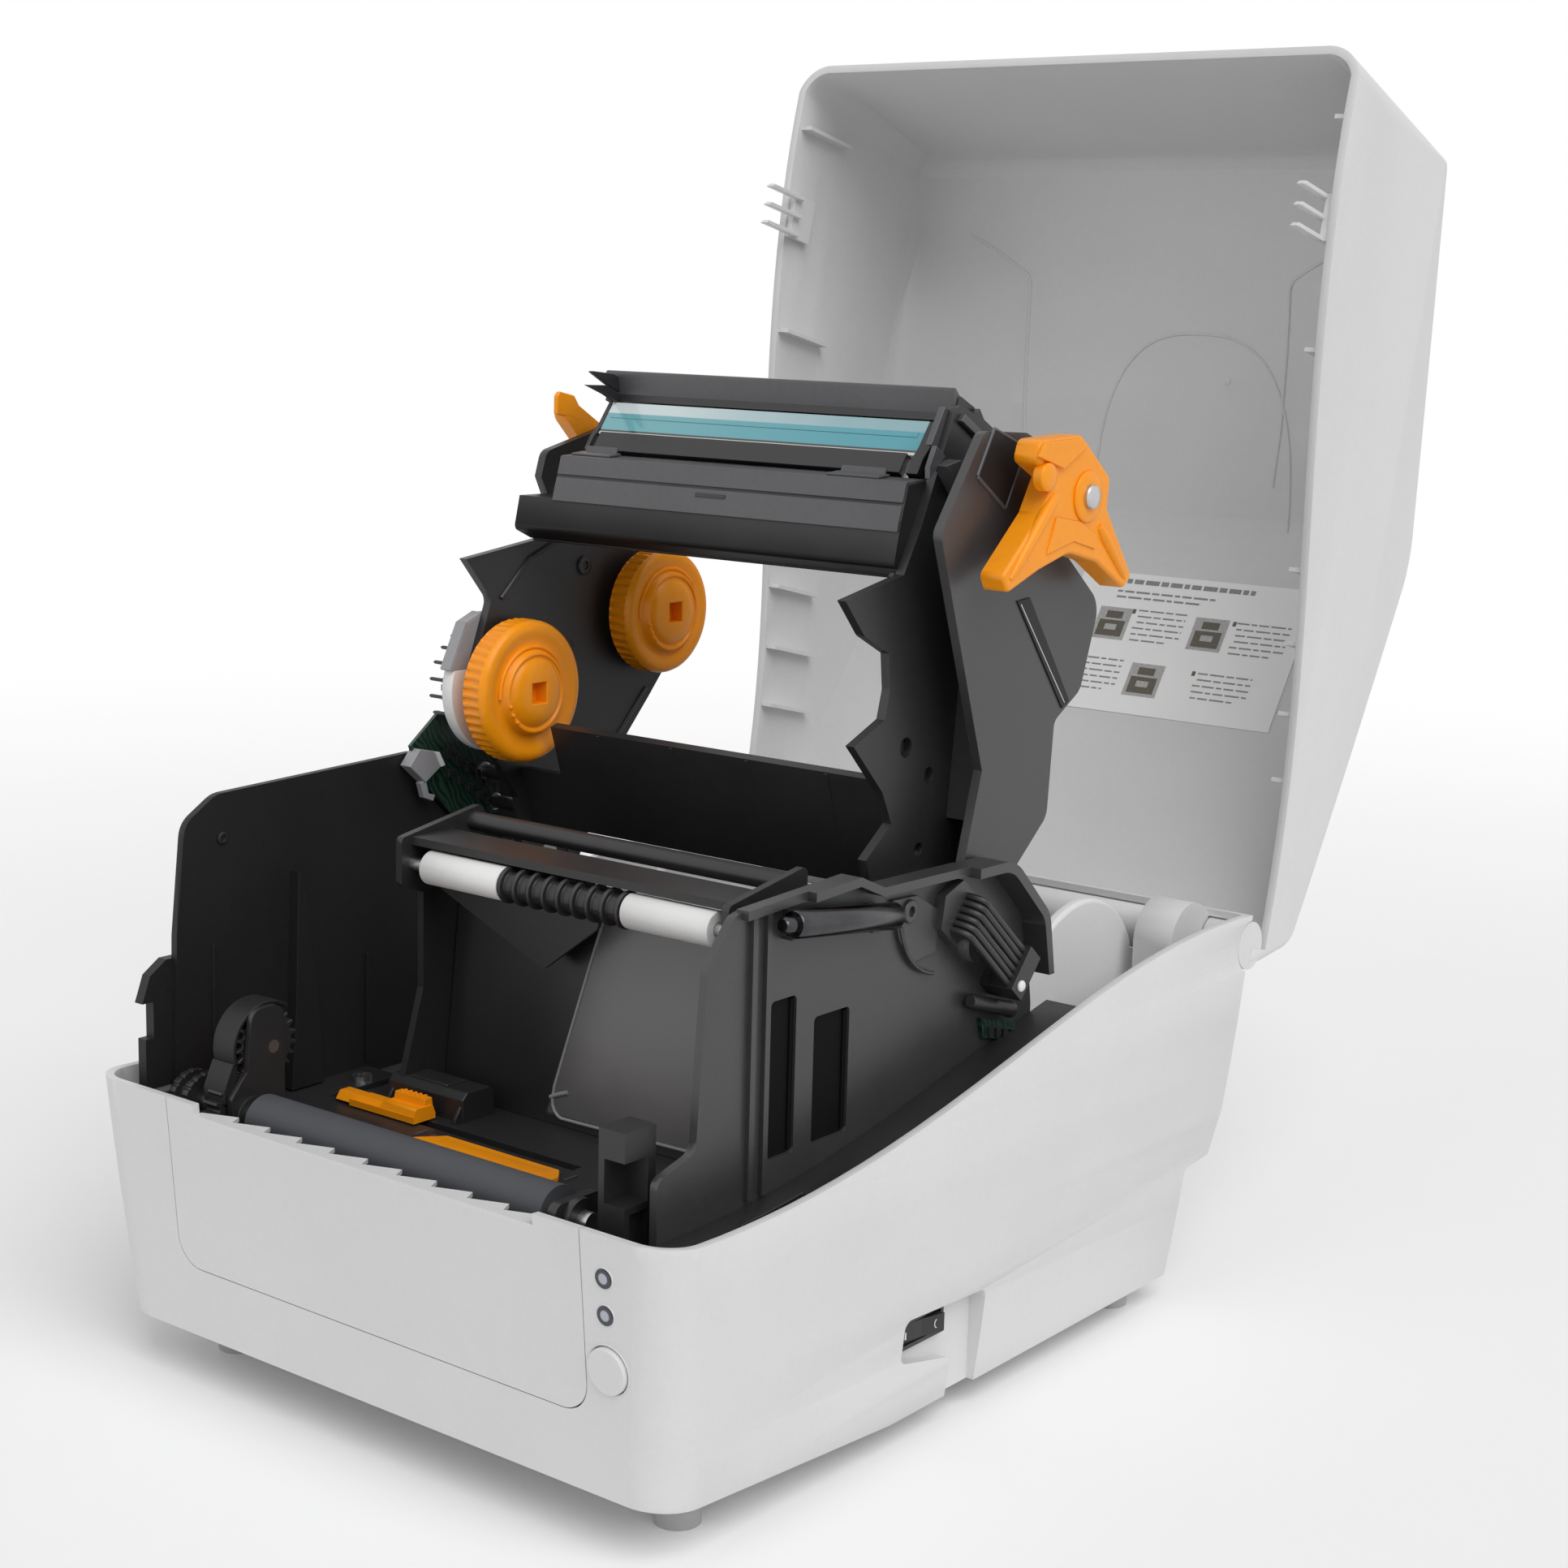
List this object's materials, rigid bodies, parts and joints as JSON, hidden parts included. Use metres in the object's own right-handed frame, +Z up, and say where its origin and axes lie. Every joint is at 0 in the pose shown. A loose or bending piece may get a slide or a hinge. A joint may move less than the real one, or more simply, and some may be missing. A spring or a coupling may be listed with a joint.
{
  "type": "desktop label printer",
  "caption": "Desktop thermal-transfer label printer with its clamshell lid swung open and the ribbon unit raised, showing platen roller, ribbon hubs and roll chamber.",
  "frame": {"origin": "on the ground under the middle of the printer's outline with its lid open", "axes": "+X to the printer's right seen from the front, +Y towards the rear hinge, +Z up"},
  "size_m": [0.228, 0.41, 0.4053],
  "materials": {
    "case_plastic": "fine satin moulded light grey",
    "black_plastic": "satin moulded black",
    "grey_plastic": "satin moulded grey",
    "white_plastic": "satin moulded white",
    "orange_plastic": "semi-gloss moulded orange",
    "platen_rubber": "ground rubber",
    "foot_rubber": "moulded light grey rubber",
    "steel": "bright turned steel",
    "aluminium": "extruded",
    "board": "green solder mask",
    "glaze": "glazed ceramic",
    "paper": "smooth printed paper",
    "lamp": "clear lens"
  },
  "bodies": {
    "base": {"base_housing": "case_plastic", "front_panel": "case_plastic", "indicator_lights": "lamp", "switch_frame": "black_plastic", "power_inlet": "black_plastic", "data_sockets": "steel", "case_screws": "steel", "bottom_cover": "case_plastic", "main_board": "board", "rubber_feet": "foot_rubber", "chassis_floor": "black_plastic", "deck": "black_plastic", "left_wall": "black_plastic", "right_wall": "black_plastic", "pivot_pins": "steel", "beam_frame": "black_plastic", "guide_shaft": "steel", "media_guide": "black_plastic", "platen_bushings": "black_plastic", "gear_axles": "steel", "drive_brackets": "black_plastic", "motor": "steel", "sensor_strip": "orange_plastic", "cable_bundle": "black_plastic", "cable_plug": "black_plastic"},
    "lid": {"lid_shell": "case_plastic", "hinge_pins": "steel", "lid_latches": "case_plastic", "lid_sticker": "paper"},
    "print_unit": {"unit_left_plate": "black_plastic", "unit_right_plate": "black_plastic", "unit_right_shell": "black_plastic", "unit_head_beam": "black_plastic", "head_ceramic": "glaze", "head_heat_sink": "aluminium", "head_driver_cover": "black_plastic", "head_springs": "steel", "clutch_ring": "white_plastic", "clutch_housing": "grey_plastic", "ribbon_board": "board"},
    "supply_hub": {"ribbon_hub_supply": "orange_plastic"},
    "rewind_hub": {"ribbon_hub_rewind": "orange_plastic"},
    "lever": {"release_lever": "orange_plastic", "lever_shaft": "steel"},
    "platen": {"platen_rubber": "platen_rubber", "platen_shaft": "steel", "platen_wheels": "black_plastic"},
    "ribbon_drive": {"ribbon_gear": "black_plastic"},
    "reducer": {"reduction_gear": "black_plastic"},
    "pinion": {"motor_pinion": "steel"},
    "guide_roller": {"guide_sleeves": "white_plastic", "guide_core": "black_plastic"},
    "holder_right": {"roll_holder_right": "case_plastic"},
    "holder_left": {"roll_holder_left": "case_plastic"},
    "holder_drive": {"holder_pinion": "grey_plastic"},
    "sensor_slider": {"sensor_knob": "orange_plastic"},
    "button": {"feed_button": "case_plastic"},
    "rocker": {"power_rocker": "black_plastic"}
  },
  "joints": [
    {"name": "lid_hinge", "type": "hinge", "parent": "base", "child": "lid", "pos_m": [0, 0.0877, 0.1147], "axis": [1, 0, 0], "range_deg": [0, 102.83]},
    {"name": "unit_pivot", "type": "hinge", "parent": "base", "child": "print_unit", "pos_m": [0, -0.046, 0.137], "axis": [1, 0, 0], "range_deg": [0, 112.6]},
    {"name": "supply_hub_spin", "type": "hinge", "parent": "print_unit", "child": "supply_hub", "pos_m": [0, -0.0667, 0.1949], "axis": [1, 0, 0], "continuous": true},
    {"name": "rewind_hub_spin", "type": "hinge", "parent": "print_unit", "child": "rewind_hub", "pos_m": [0, -0.0004, 0.2155], "axis": [1, 0, 0], "continuous": true},
    {"name": "lever_turn", "type": "hinge", "parent": "print_unit", "child": "lever", "pos_m": [0, -0.012, 0.266], "axis": [1, 0, 0], "range_deg": [0, 15], "stiffness_Nm_per_rad": 0.4},
    {"name": "platen_spin", "type": "hinge", "parent": "base", "child": "platen", "pos_m": [0, -0.185, 0.0826], "axis": [1, 0, 0], "continuous": true},
    {"name": "ribbon_gear_spin", "type": "hinge", "parent": "base", "child": "ribbon_drive", "pos_m": [0, -0.17613, 0.10163], "axis": [1, 0, 0], "continuous": true},
    {"name": "reduction_gear_spin", "type": "hinge", "parent": "base", "child": "reducer", "pos_m": [0, -0.17207, 0.06238], "axis": [1, 0, 0], "continuous": true},
    {"name": "motor_pinion_spin", "type": "hinge", "parent": "base", "child": "pinion", "pos_m": [0, -0.15991, 0.04778], "axis": [1, 0, 0], "continuous": true},
    {"name": "guide_roller_spin", "type": "hinge", "parent": "base", "child": "guide_roller", "pos_m": [0, -0.126, 0.1495], "axis": [1, 0, 0], "continuous": true},
    {"name": "holder_right_slide", "type": "slide", "parent": "base", "child": "holder_right", "axis": [-1, 0, 0], "range_m": [0, 0.04]},
    {"name": "holder_left_slide", "type": "slide", "parent": "base", "child": "holder_left", "axis": [1, 0, 0], "range_m": [0, 0.04]},
    {"name": "holder_pinion_turn", "type": "hinge", "parent": "base", "child": "holder_drive", "pos_m": [0, 0.0375, 0.052], "axis": [0, 0, 1], "range_deg": [-290, 0]},
    {"name": "sensor_slide", "type": "slide", "parent": "base", "child": "sensor_slider", "axis": [1, 0, 0], "range_m": [0, 0.06]},
    {"name": "button_press", "type": "slide", "parent": "base", "child": "button", "axis": [0, 0.9961, 0.0879], "range_m": [0, 0.0015], "stiffness_N_per_m": 300},
    {"name": "rocker_tilt", "type": "hinge", "parent": "base", "child": "rocker", "pos_m": [0.1035, -0.085, 0.033], "axis": [0, 0, 1], "range_deg": [0, 14]}
  ],
  "couplings": [
    {"joint": "unit_pivot", "follows": "lid_hinge", "ratio": 1.094},
    {"joint": "ribbon_gear_spin", "follows": "platen_spin", "ratio": -1},
    {"joint": "reduction_gear_spin", "follows": "platen_spin", "ratio": -0.77778},
    {"joint": "motor_pinion_spin", "follows": "platen_spin", "ratio": 1.9091},
    {"joint": "holder_left_slide", "follows": "holder_right_slide", "ratio": 1},
    {"joint": "holder_pinion_turn", "follows": "holder_right_slide", "rad_per_m": -125}
  ]
}
